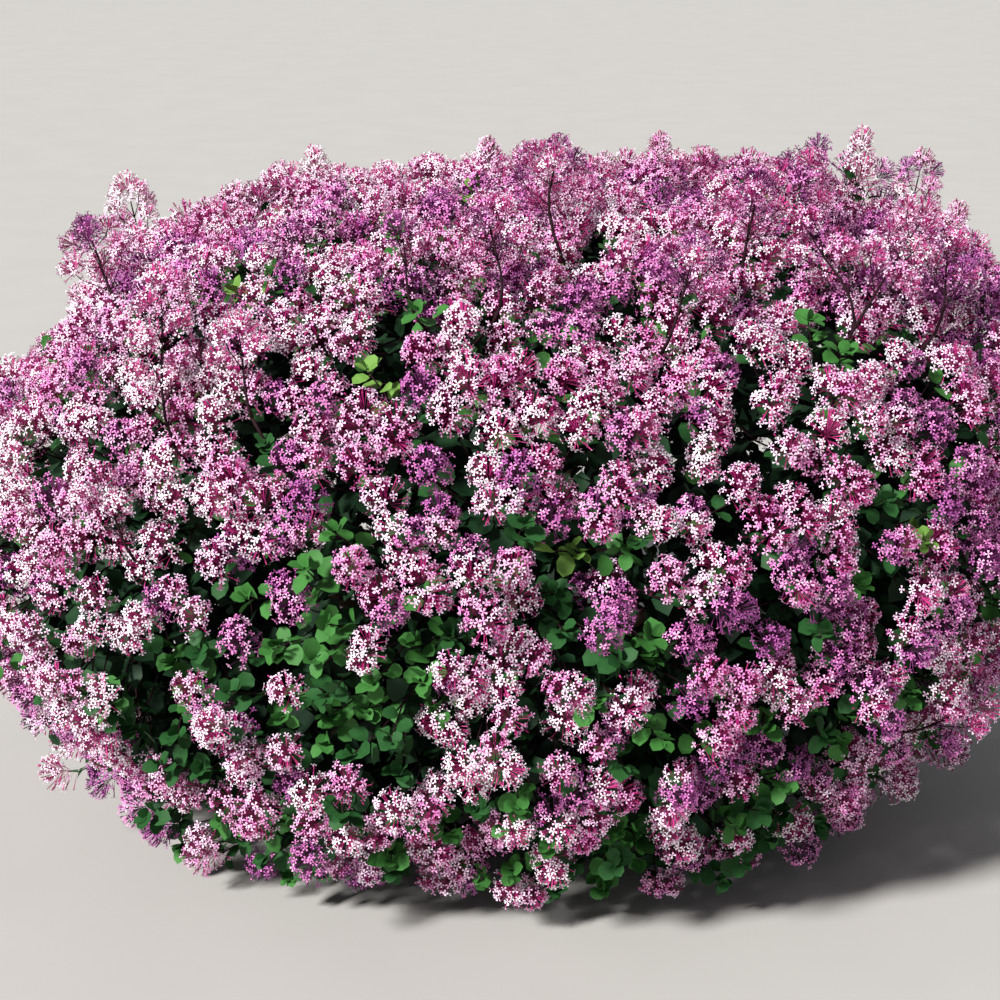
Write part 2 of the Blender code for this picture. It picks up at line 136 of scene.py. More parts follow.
# Large and small lumps: how many to a metre, and their height.
LUMPS = ((5.2, 0.034), (13.0, 0.028))
TIP_JITTER = 0.034
TOP_DROP = 0.020
UPRIGHT_SHARE = 0.55
AXIS_JITTER = 0.24
LEAFY_HEIGHT = 0.66
LEAFY_SHARE = 0.56
LEAST_LEAFY = 0.032

# The tall upright panicles that stand up from the top: across, in depth, tip height. The first is a
# little lower than in the source.
SPIRES = (
    (-0.70, 0.02, 0.98),
    (-0.32, 0.06, 1.16),
    (-0.02, 0.10, 1.17),
    (0.11, -0.02, 1.16),
    (0.28, 0.09, 1.18),
    (0.55, 0.05, 1.15),
    (0.63, 0.08, 1.19),
    (0.79, 0.02, 1.07),
)
SPIRE_UPRIGHT = 5
SPIRE_LENGTH = 0.095
SPIRE_TURNS = (20, 140, 260)
SPIRE_ASIDE = 0.026
SPIRE_STEP_DOWN = 0.050
# The low sprays that reach out near the ground: azimuth and elevation in degrees, reach share.
LOW_SPRAYS = ((203, -17, 1.06), (340, -15, 1.05))
LOW_SPRAY_FAN = ((0, 0, 0.0), (-4, 1, -0.05), (4, -1, -0.06))

# Long dark shoots that stand out of the blossom: pixel across and down of the foot, then of the tip.
LONG_SHOOTS = (
    (162, 443, 161, 300), (242, 412, 241, 350), (864, 326, 918, 226), (868, 312, 812, 238),
    (950, 326, 947, 262), (753, 250, 756, 200), (500, 296, 490, 226), (412, 306, 404, 248),
    (104, 300, 92, 240), (906, 738, 966, 712), (120, 560, 108, 500), (676, 330, 690, 268),
    (556, 220, 555, 161), (800, 235, 808, 165),
)
OTHER_LONG_SHOOTS = 12
BACK_AZIMUTHS = (15, 150)
BACK_AZIMUTH_JITTER = 12
OTHER_SHOOT_LENGTH = 0.13
OTHER_SHOOT_SHORTEST = 0.6
OTHER_SHOOT_SINK = 0.070
OTHER_SHOOT_ELEVATIONS = (0, 32)
OTHER_SHOOT_UPRIGHT = 3
LONG_SHOOT_SINK = 0.030
LONG_SHOOT_RADII = (0.0026, 0.0013)
LONG_SHOOT_STEPS = (3, 5)
LONG_SHOOT_SIDES = 5
LONG_SHOOT_NODE_GAP = 0.036
LONG_SHOOT_NODE_JITTER = 0.2
LONG_SHOOT_PANICLE = 0.045
END_PANICLE_SHARE = 1.3
SIDE_TWIG_SPREAD = 42
SIDE_TWIG_SIDES = 3
SIDE_TWIG_RADII = (0.0013, 0.0006)
# At the foot and at the tip of the shoot.
SIDE_TWIG_LENGTHS = (0.055, 0.030)

# Hollows and leafy places in the front of the crown: pixel across and down in the photo, radius in pixels.
DARK_HOLLOWS = (
    (442, 729, 42), (414, 640, 30), (574, 575, 34), (545, 615, 30), (613, 582, 26), (351, 712, 30),
    (170, 736, 36), (139, 661, 38), (221, 662, 30), (283, 742, 32), (905, 595, 24), (267, 844, 28),
    (413, 858, 30), (790, 205, 20), (560, 735, 28), (660, 660, 24), (500, 790, 26),
)
LEAFY_PLACES = (
    (286, 631, 32), (357, 769, 42), (331, 738, 28), (371, 725, 24), (421, 626, 24), (539, 646, 34),
    (611, 557, 28), (602, 704, 28), (204, 840, 34), (127, 737, 34), (241, 675, 26), (426, 522, 21),
    (452, 858, 30), (502, 817, 24), (810, 740, 34), (788, 774, 28), (847, 758, 26), (763, 501, 22),
    (500, 240, 22), (570, 215, 14), (640, 285, 14), (860, 330, 34), (400, 430, 20), (560, 420, 20),
    (280, 470, 20), (219, 191, 22), (788, 195, 16), (86, 792, 26), (330, 360, 18), (150, 290, 18),
    (905, 470, 26), (880, 640, 24), (935, 545, 22), (965, 420, 20),
)
# Where the outline swells or falls back: pixel across and down, radius in pixels, depth in metres.
OUTLINE_SWELLS = (
    (30, 295, 95, -0.075), (225, 185, 70, -0.060), (780, 190, 34, -0.050), (888, 185, 26, -0.045),
    (1000, 735, 115, -0.120), (390, 165, 50, -0.035), (606, 150, 34, -0.030), (990, 225, 50, -0.030),
    (135, 200, 50, -0.045), (716, 160, 36, -0.035),
)
HOLLOW_DEPTH = 0.11
HOLLOW_FLOWERING = 0.25
LEAFY_PLACE_DEPTH = 0.008
LEAFY_PLACE_SHARE = 0.80

# The twigs, from the finest to the thickest: foot and tip radius of each, and how far in each fork lies.
TWIG_RADII = ((0.0017, 0.0012), (0.0023, 0.0018), (0.0031, 0.0024), (0.0044, 0.0033))
FORK_DEPTHS = (0.085, 0.085, 0.10)
TWIG_SIDES = (3, 3, 4, 5)
TWIG_STEPS = (2, 3, 3, 3)

# The leaves.
LEAF_LENGTHS = (0.033, 0.042, 0.050, 0.056)
INNER_SHOOT_LEAF = 0.050
LEAF_WIDTH_SHARE = 0.80
LEAF_NODE_GAPS = (0.024, 0.030, 0.032, 0.036)
# The most pairs of leaves on a twig, by what it bears.
MOST_PAIRS = {"twigs": math.inf, "panicles": 2, "spire": 1, "leaves": 3, "inner leaves": 2}
PLAIN_LEAVED = ("twigs", "inner leaves")
BARE_BELOW_PANICLE = 0.020
BARE_BELOW_LEAVES = 0.009
LEAF_SPREAD = 60
LEAF_SPREAD_JITTER = 14
LEAF_SIZE_JITTER = 0.22
LEAF_GAP_JITTER = 0.15
BARE_JITTER = 0.2
LEAF_FACES_OUT = 0.6
LEAF_FACING_JITTER = 0.35
GROUND_CLEARANCE = 0.012
PETIOLE_HALF_WIDTH = 0.0007
# A leaf's shape: places along its midrib, then places and half widths along its sides.
OUTER_LEAF = ((0.13, 0.46, 0.76, 1.0), ((0.24, 0.35), (0.52, 0.50), (0.83, 0.38)))
INNER_LEAF = ((0.10, 0.50, 1.0), ((0.34, 0.45), (0.70, 0.42)))
LEAF_FOLD = 0.22
LEAF_CURL = 0.16
LEAF_CURL_JITTER = 0.6
YOUNG_LEAF_SHARE = 0.76
# How light a spray's green is: by two chances, by how far it faces up, and by the leaves it bears. The inner
# leaves get the darkest green, darker than life: painted shade.
LEAF_LIGHT_CHANCES = (0.55, 0.15)
LEAF_LIGHT_ABOVE = 0.3
# The inner leaves' large negative share sends them to the darkest green, a painted shade.
LEAF_LIGHT_BY_SHOOT = {"leaves": 0.22, "inner leaves": -2.0}
LEAF_TINT_LIMITS = (-0.1, 0.25, 0.56, 0.86)
TERMINAL_SPREADS = (48, 24)

# The panicles.
PANICLE_LENGTH = 0.063
PANICLE_LENGTH_JITTER = 0.20
PANICLE_WIDTH_SHARE = 0.45
LONGEST_ROUND_PANICLE = 0.070
LONE_PANICLE_SHARE = 1.08
PAIR_CHANCE = 0.56
PAIR_SPREAD = 24
SIDE_PANICLE_CHANCE = 0.20
SIDE_PANICLE_SHARE = 0.72
SIDE_PANICLE_SPREAD = 42
SIDE_PANICLE_BACK = 0.030
FLORETS = 62
HIDDEN_SIDE = -0.12
FLORET_PLACE_JITTER = 0.5
FLORET_TURN_JITTER = 0.25
PANICLE_NECK = 0.08
PANICLE_FULLEST = 0.36
LEAST_BULGE = 0.03
# How deep a panicle's pink is, from 0 to 1: the middle, by patches, by the place across, and by chance. The
# share by the place across deepens the pink towards the right, a painted shade.
PINK_MIDDLE = 0.42
PINK_BY_PATCH = 0.40
PAINTED_SHADE_PINK_BY_PLACE = 0.14
PINK_BY_CHANCE = 0.25
FLORET_PINK_JITTER = 0.10
DEEPEST_PINK = 0.999
TUBE_PINK_SHARE = 1.1
PATCHES_PER_METRE = 3.1
PATCH_OFFSET = np.array((7.3, 2.1, 4.6))
PANICLE_ROUNDNESS = 0.655
TIP_CROWDING = 0.68
LOBE_HEIGHT = 0.15
LOBE_ROWS = 4
LOBE_TIERS = 3
FACING_JITTER = 0.17
FLORET_TILTS = (-8, 78)
FLORET_TILT_POWER = 1.6
FLORET_DEPTH_JITTER = 0.14
FLORET_DEPTH_LIMITS = (-2, 1.2)
HIDDEN_DEPTH_SHARE = 0.88

# The florets: four petals on a slender tube, and buds where they haven't opened.
PETAL_LENGTH = 0.0050
PETAL_WIDTH_SHARE = 0.64
PETALS = 4
PETAL_LENGTH_JITTER = 0.16
PETAL_TURN_JITTER = 0.08
PETAL_LIFT = 0.12
PETAL_LIFT_JITTER = 0.20
TUBE_RADIUS = 0.0011
LEAST_TUBE_SLOPE = 0.25
LOWEST_TUBE_ROOT = 0.04
TUBE_FACES = 2
RACHIS_SHARE = 0.85
BUDS = 1
BUD_CHANCE = 0.05
BUD_LENGTH = 0.011
BUD_OUT_SHARE = 0.35
BUD_FULLEST = 0.75
BUD_RADIUS = 0.0015
CONE_SIDES = 3
PETAL_FACES = np.array([(0, 2 + 2 * petal, 1 + 2 * petal) for petal in range(PETALS)])
CONE_FACES = np.array(((0, 2, 1), (0, 3, 2), (0, 1, 3)))
BUD_FACES = np.array((*CONE_FACES, (4, 1, 2), (4, 2, 3), (4, 3, 1)))

GOLDEN_ANGLE = math.pi * (3 - math.sqrt(5))
MOST_TRIANGLES = 190000
# A leaf's or panicle's row of numbers starts with three vectors, which end here.
VECTOR_ENDS = (3, 6, 9)

# Colours as they look on a screen, 0 to 255.
PETAL_TINTS = {
    "petals_palest": (255, 234, 251),
    "petals_pale": (253, 214, 242),
    "petals_pink": (243, 178, 222),
    "petals_orchid": (222, 128, 194),
    "petals_purple": (180, 94, 166),
}
TUBE_TINTS = {
    "tubes_pink": (190, 54, 128),
    "tubes_magenta": (156, 28, 100),
    "tubes_purple": (104, 28, 92),
}
LEAF_TINTS = {
    # The darkest green, for the inner leaves, is painted shade.
    "leaves_painted_shade": (18, 38, 24),
    "leaves_dark": (26, 56, 32),
    "leaves_middle": (36, 80, 38),
    "leaves_light": (58, 112, 50),
    "leaves_young": (104, 144, 66),
}
TWIG_TINTS = {"twigs": (38, 20, 26)}
BARK_TINT = (104, 84, 70)
FLOOR_TINT = (186, 184, 180)

# The crown's pieces: their names and tints, then their slot, roughness and gloss.
KINDS = (
    (TWIG_TINTS, "bark", 0.75, 0.1),
    (LEAF_TINTS, "leaves", 0.6, 0.2),
    (PETAL_TINTS, "blossom", 0.55, 0.3),
    (TUBE_TINTS, "blossom", 0.55, 0.3),
)
# Every material's flecks and sheen.
FLECK_DETAIL = 3
FLECK_EDGES = (0.32, 0.68)
LIGHTEST = 0.97
SHEEN_SWING = 0.08
GRAINS_PER_FLECK = 6

# The floor, the sun from the upper left in front, and the sky.
FLOOR_HALF_WIDTH = 60
SUN_TOWARDS = (-0.95, -1.05, 1.05)
SUN_ENERGY = 6.2
SUN_WIDTH = 8
SUN_COLOUR = (1.0, 0.98, 0.96)
SKY_COLOUR = (0.90, 0.95, 1.0, 1.0)
SKY_STRENGTH = 0.27


def from_screen(colour):
    """A screen's colour as the linear values that a shader takes, by the sRGB curve."""
    shares = np.array(colour) / 255
    return np.where(shares <= 0.04045, shares / 12.92, ((shares + 0.055) / 1.055) ** 2.4)


def unit(vector):
    return vector / norm(vector, axis=-1, keepdims=True)


def heading(azimuth, elevation):
    """The unit vector for an azimuth from +X towards +Y and an elevation, in degrees."""
    turn = math.radians(azimuth)
    rise = math.radians(elevation)
    return np.array((math.cos(turn) * math.cos(rise), math.sin(turn) * math.cos(rise), math.sin(rise)))


def side_axes(axes):
    """Two unit vectors square to each axis and to each other."""
    upright = np.abs(axes[..., 2:3]) > NEARLY_UPRIGHT
    reference = np.where(upright, np.array((1.0, 0.0, 0.0)), UP)
    first = unit(np.cross(axes, reference))
    return first, np.cross(axes, first)


def side_at(axes, turn):
    """The unit vector square to each axis, at a turn round it."""
    first, second = side_axes(axes)
    return np.cos(turn) * first + np.sin(turn) * second


def turns_round(count):
    """So many even steps of a full turn."""
    return 2 * math.pi * np.arange(count) / count


def tilted(axis, side, degrees):
    """The axis, tilted towards a side that is square to it."""
    angle = math.radians(degrees)
    return unit(axis * math.cos(angle) + side * math.sin(angle))


def sphere_lattice(count):
    """Unit vectors spread evenly over a sphere along a golden spiral."""
    steps = np.arange(count) + 0.5
    height = 1 - 2 * steps / count
    ring = np.sqrt(1 - height**2)
    turn = GOLDEN_ANGLE * steps
    return np.stack((ring * np.cos(turn), ring * np.sin(turn), height), axis=1)


def share_above(height):
    """0 up to the crown's widest height, and from there to 1 at its top."""
    return np.clip((height - WIDEST_HEIGHT) / (DOME_HEIGHT - WIDEST_HEIGHT), 0, 1)


def dome_share(height):
    """The crown's half width at a height, as a share of its widest."""
    above = share_above(height)
    below = np.clip((WIDEST_HEIGHT - height) / WIDEST_HEIGHT, 0, 1)
    upper = (1 - above**UPPER_POWER) ** (1 / UPPER_POWER)
    lower = FOOT_SHARE + (1 - FOOT_SHARE) * (1 - below**LOWER_POWER) ** (1 / LOWER_POWER)
    return np.where(height > WIDEST_HEIGHT, upper, lower)


def inside_dome(points, scale=1.0):
    """Which points lie in the dome once it is scaled about the crown's middle."""
    full = MIDDLE + (points - MIDDLE) / scale
    across = np.abs(full[..., 0] - CROWN_LEAN * share_above(full[..., 2])) / HALF_SPREAD
    deep = np.abs(full[..., 1]) / HALF_DEPTH
    return across**PLAN_POWER + deep**PLAN_POWER <= dome_share(full[..., 2]) ** PLAN_POWER


def first_distance(origin, direction, test, most=FARTHEST):
    """How far along the direction the test first holds."""
    steps = np.arange(MARCH_STEP, most, MARCH_STEP)
    found = test(origin + steps[:, None] * direction)
    return steps[found.argmax()] if found.any() else most


def crown_reach(direction):
    return first_distance(MIDDLE, direction, lambda points: ~inside_dome(points))


def crown_surface(directions):
    """Where the crown's surface lies in each direction from its middle, found by halving."""
    near = np.zeros(len(directions))
    far = np.full(len(directions), FARTHEST)
    while (far - near).max() > MARCH_STEP / 2:
        half = (near + far) / 2
        inside = inside_dome(MIDDLE + directions * half[:, None])
        near = np.where(inside, half, near)
        far = np.where(inside, far, half)
    return MIDDLE + directions * far[:, None]


def arc(start, start_heading, end, end_heading, count):
    """Points along a smooth bend between two places, leaving and arriving in the given headings."""
    length = norm(end - start)
    second = start + start_heading * length * BEND_PULL
    third = end - end_heading * length * BEND_PULL
    share = np.linspace(0, 1, count + 1)[:, None]
    rest = 1 - share
    return rest**3 * start + 3 * rest**2 * share * second + 3 * rest * share**2 * third + share**3 * end


def distances_along(path):
    """How far along a path each of its points lies."""
    return np.concatenate(((0,), np.cumsum(norm(np.diff(path, axis=0), axis=1))))


class Mass:
    """One mass of blossom and leaves, and the bough that carries it, as in the source."""

    def __init__(self, name, azimuth, elevation, chance):
        self.name = name
        direction = heading(azimuth, elevation)
        self.reach = 1 + MASS_BULGE * chance.uniform(-1, 1)
        self.centre = MIDDLE + direction * crown_reach(direction) * MASS_CENTRE_SHARE
        line = unit(self.centre - STEM_HEAD)
        slope = math.degrees(math.asin(line[2]))
        turn = math.degrees(math.atan2(line[1], line[0]))
        flatness = math.cos(math.radians(slope))
        self.start_heading = heading(turn, slope + BOUGH_LIFT * flatness)
        self.end_heading = heading(turn, slope - BOUGH_FALL * flatness)
        self.start = STEM_HEAD + self.start_heading * STUB_REACH
        self.shoots = []


def core_corner_distance(mass, direction, masses):
    """How far the source's core reaches from the mass's centre, rounded off between its limits."""
    outer = CORE_OUTER_SHARE * mass.reach
    limits = [
        CORE_MOST_REACH,
        first_distance(mass.centre, direction, lambda points: ~inside_dome(points, outer)),
        first_distance(mass.centre, direction, lambda points: inside_dome(points, CORE_INNER_SHARE)),
    ]
    if direction[2] < 0:
        limits.append((mass.centre[2] - CORE_GROUND_GAP) / -direction[2])
    for other in masses:
        if other is not mass:
            apart = other.centre - mass.centre
            facing = unit(apart) @ direction
            if facing > 0:
                limits.append((norm(apart) / 2 - CORE_WALL_GAP) / facing)
    return sum(limit**-CORE_ROUNDING for limit in limits) ** (-1 / CORE_ROUNDING)


def make_masses():
    chance = random.Random(SOURCE_SEED)
    masses = []
    for name, count, elevation, azimuth in RINGS:
        for number in range(count):
            label = name if count == 1 else f"{name}_{number + 1}"
            masses.append(Mass(label, azimuth + 360 * number / count, elevation, chance))
    for mass in masses:
        inward = core_corner_distance(mass, -mass.end_heading, masses)
        mass.tip = mass.centre - mass.end_heading * (inward + MASS_STEM_OUT)
    return masses


# Meshes: corners and triangles are gathered as arrays, and then made into objects.
class Gathered:
    """Corners and triangles of one kind, gathered piece by piece."""

    def __init__(self):
        self.corners = []
        self.faces = []
        self.count = 0

    def add(self, corners, faces):
        """Takes corners (any shape that ends in 3) and triangles that number them from 0."""
        flat = corners.reshape(-1, 3)
        self.corners.append(flat)
        self.faces.append(faces.reshape(-1, 3) + self.count)
        self.count += len(flat)

    def add_copies(self, corners, faces):
        """Takes copies of one shape: corners (copies, corners of one, 3) and the shape's triangles."""
        copies, size = corners.shape[:2]
        self.add(corners, faces[None] + size * np.arange(copies)[:, None, None])

    def arrays(self):
        return np.concatenate(self.corners), np.concatenate(self.faces)


def linked_object(name, content):
    """A new object of the scene, for a mesh, a light or a camera."""
    item = bpy.data.objects.new(name, content)
    bpy.context.scene.collection.objects.link(item)
    return item


def vertex_vectors(mesh, kind):
    """The place or the normal of every vertex of a mesh, as rows of three."""
    values = np.empty(3 * len(mesh.vertices), np.float32)
    mesh.vertices.foreach_get(kind, values)
    return values.reshape(-1, 3).astype(float)


def mesh_object(name, corners, faces, material):
    """An object of triangles, shaded smooth."""
    mesh = bpy.data.meshes.new(name)
    mesh.from_pydata(corners.tolist(), (), faces.tolist(), shade_flat=False)
    mesh.materials.append(material)
    return linked_object(name, mesh)


def tube(path, radii, sides):
    """A limb along a path, closed at both ends, as corners and triangles."""
    ahead = unit(np.gradient(path, axis=0))
    reference = side_axes(unit(path[-1] - path[0]))[0]
    first = unit(reference - ahead * (ahead @ reference)[:, None])
    second = np.cross(ahead, first)
    turn = turns_round(sides)
    offsets = np.cos(turn)[:, None] * first[:, None] + np.sin(turn)[:, None] * second[:, None]
    corners = path[:, None] + np.asarray(radii)[:, None, None] * offsets
    return corners, tube_faces(len(path), sides)


def tube_faces(rings, sides):
    """Triangles of a limb of so many rings, with both ends closed."""
    side = np.arange(sides)
    beside = (side + 1) % sides
    base = sides * np.arange(rings - 1)[:, None]
    lower = np.stack((base + side, base + beside, base + sides + beside), axis=-1)
    upper = np.stack((base + side, base + sides + beside, base + sides + side), axis=-1)
    fan = np.arange(1, sides - 1)
    last = sides * (rings - 1)
    foot = np.stack((0 * fan, fan + 1, fan), axis=-1)
    tip = np.stack((0 * fan + last, fan + last, fan + 1 + last), axis=-1)
    return np.concatenate((lower.reshape(-1, 3), upper.reshape(-1, 3), foot, tip))


# The photo's lines of sight, and where the twigs end.
def camera_axes():
    place = np.array(CAMERA_PLACE)
    forward = unit(np.array(CAMERA_AIM) - place)
    right = unit(np.cross(forward, UP))
    return place, forward, right, np.cross(right, forward)


def line_of_sight(across, down):
    """The camera's place and the heading from it through a pixel of the photo."""
    place, forward, right, above = camera_axes()
    scale = SENSOR / LENS / PHOTO_SIDE
    middle = PHOTO_SIDE / 2
    return place, unit(forward + right * (across - middle) * scale + above * (middle - down) * scale)


def place_behind_pixel(across, down):
    """Where the line of sight through a pixel meets the crown."""
    place, sight = line_of_sight(across, down)
    return place + sight * first_distance(place, sight, inside_dome, MOST_SIGHT)


def outline_swell(points):
    """How far the outline swells at each point. The listed places lie in the plane of the crown's middle."""
    total = np.zeros(len(points))
    for across, down, radius, depth in OUTLINE_SWELLS:
        place, sight = line_of_sight(across, down)
        centre = place - sight * place[1] / sight[1]
        apart = norm((points - centre) * (1, SWELL_DEPTH_SHARE, 1), axis=1)
        total += depth * np.sqrt(np.clip(1 - apart / (radius * metres_per_pixel()), 0, 1))
    return total


def metres_per_pixel():
    place, forward = camera_axes()[:2]
    return -place @ forward * SENSOR / LENS / PHOTO_SIDE


def photo_places(listed):
    """World places and radii for a list of pixels and pixel radii."""
    places = np.array([place_behind_pixel(across, down) for across, down, _ in listed])
    return places, np.array(listed)[:, 2] * metres_per_pixel()


def thinned(points, spacings, chance):
    """Points above the lowest tip, at least their own spacing apart, chosen in a random order."""
    high = points[:, 2] > LOWEST_TIP
    points, spacings = points[high], spacings[high]
    kept = np.empty((0, 3))
    for number in chance.permutation(len(points)):
        apart = ((kept - points[number]) ** 2).sum(axis=1)
        if (apart > spacings[number] ** 2).all():
            kept = np.vstack((kept, points[number]))
    return kept


class Shoot:
    """The end of a twig: its neck, the way it points, and what it bears."""

    rank = 0

    def __init__(self, tip, axis, bears, length):
        self.axis = axis
        self.length = length
        self.bears = bears
        self.place = tip - axis * length
        self.outward = unit(tip - MIDDLE)


class Fork:
    """A place where a twig divides in two, some way in towards the mass's centre."""

    bears = "twigs"

    def __init__(self, ends, centre):
        self.ends = ends
        self.rank = max(end.rank for end in ends) + 1
        middle = np.mean([end.place for end in ends], axis=0)
        inward = centre - middle
        distance = norm(inward)
        depth = min(FORK_DEPTHS[self.rank - 1], MOST_FORK_SHARE * distance)
        self.place = middle + inward / distance * depth
        self.outward = unit(self.place - MIDDLE)


def deal_out_shoots(masses, chance):
    """Every shoot of the crown goes to the mass whose centre is nearest."""
    directions = sphere_lattice(LATTICE)
    surface = crown_surface(directions)
    surface = surface + directions * outline_swell(surface)[:, None]

    def deal_out(tip, axis, bears, length=PANICLE_LENGTH):
        nearest = min(masses, key=lambda mass: norm(mass.centre - tip))
        nearest.shoots.append(Shoot(tip, axis, bears, length))

    hollows, hollow_radii = photo_places(DARK_HOLLOWS)
    leafy_places, leafy_radii = photo_places(LEAFY_PLACES)
    top_share = np.clip(directions[:, 2], 0, 1) ** TOP_SPACING_POWER
    spacings = SIDE_SPACING + (TOP_SPACING - SIDE_SPACING) * top_share
    spacings[directions[:, 2] < 0] = LOW_SPACING
    for point in thinned(surface, spacings, chance):
        outward = unit(point - MIDDLE)
        lumps = sum(height * noise.noise(Vector(point * per_metre)) for per_metre, height in LUMPS)
        sunk = TIP_JITTER * chance.random() + TOP_DROP * max(outward[2], 0)
        tip = point + outward * (lumps - sunk)
        leafiness = LEAFY_SHARE * np.clip((LEAFY_HEIGHT - tip[2]) / LEAFY_HEIGHT, 0, 1) + LEAST_LEAFY
        hollow = np.clip(1 - norm(hollows - tip, axis=1) / hollow_radii, 0, 1).max()
        if hollow > 0:
            leafiness = 1 - HOLLOW_FLOWERING
            tip = tip - outward * HOLLOW_DEPTH * math.sqrt(hollow)
        if (norm(leafy_places - tip, axis=1) < leafy_radii).any():
            leafiness = LEAFY_PLACE_SHARE
            tip = tip - outward * LEAFY_PLACE_DEPTH
        axis = unit(outward + UP * UPRIGHT_SHARE + AXIS_JITTER * chance.normal(size=3))
        length = PANICLE_LENGTH * (1 + PANICLE_LENGTH_JITTER * chance.uniform(-1, 1))
        if chance.random() > leafiness:
            deal_out(tip, axis, "panicles", length)
        else:
            deal_out(tip, axis, "leaves", LEAF_LENGTHS[0] * YOUNG_LEAF_SHARE)
    for share, spacing in INNER_LAYERS:
        inner = MIDDLE + (surface - MIDDLE) * share
        for tip in thinned(inner, np.full(len(inner), spacing), chance):
            axis = unit(tip - MIDDLE + UP * UPRIGHT_SHARE + AXIS_JITTER * chance.normal(size=3))
            deal_out(tip, axis, "inner leaves", INNER_SHOOT_LEAF)
    for spire in SPIRES:
        tip = np.array(spire)
        upright = unit(UP * SPIRE_UPRIGHT + tip * (1, 1, 0))
        deal_out(tip, upright, "spire", SPIRE_LENGTH)
        for turn in SPIRE_TURNS:
            beside = SPIRE_ASIDE * heading(turn, 0) - UP * SPIRE_STEP_DOWN
            deal_out(tip + beside, unit(upright + beside), "panicles")
    for azimuth, elevation, share in LOW_SPRAYS:
        for turn, rise, further in LOW_SPRAY_FAN:
            direction = heading(azimuth + turn, elevation + rise)
            tip = MIDDLE + direction * crown_reach(direction) * (share + further)
            deal_out(tip, unit(direction + UP * UPRIGHT_SHARE), "panicles")


def long_shoots(chance):
    """The feet and tips of the long shoots: those of the photo, and others all round the back."""
    forward = camera_axes()[1]
    found = []
    for foot_across, foot_down, tip_across, tip_down in LONG_SHOOTS:
        surface = place_behind_pixel(foot_across, foot_down)
        place, sight = line_of_sight(tip_across, tip_down)
        tip = place + sight * ((surface - place) @ forward) / (sight @ forward)
        behind = first_distance(place, sight, inside_dome, MOST_SIGHT)
        if behind < MOST_SIGHT:
            tip = (tip + place + sight * behind) / 2
        found.append((surface - unit(surface - MIDDLE) * LONG_SHOOT_SINK, tip))
    for azimuth in np.linspace(*BACK_AZIMUTHS, OTHER_LONG_SHOOTS, endpoint=False):
        azimuth += BACK_AZIMUTH_JITTER * chance.random()
        direction = heading(azimuth, chance.uniform(*OTHER_SHOOT_ELEVATIONS))
        foot = MIDDLE + direction * (crown_reach(direction) - OTHER_SHOOT_SINK)
        length = OTHER_SHOOT_LENGTH * chance.uniform(OTHER_SHOOT_SHORTEST, 1)
        found.append((foot, foot + unit(direction + OTHER_SHOOT_UPRIGHT * UP) * length))
    return found


def pair_up(ends, centre):
    """Joins each end with its nearest free neighbour in a fork, as lilac twigs divide in twos."""
    waiting = list(ends)
    forks = []
    while waiting:
        first = waiting.pop(0)
        chosen = [first]
        if waiting:
            distances = [norm(other.place - first.place) for other in waiting]
            chosen.append(waiting.pop(np.argmin(distances)))
        forks.append(Fork(chosen, centre))
    return forks


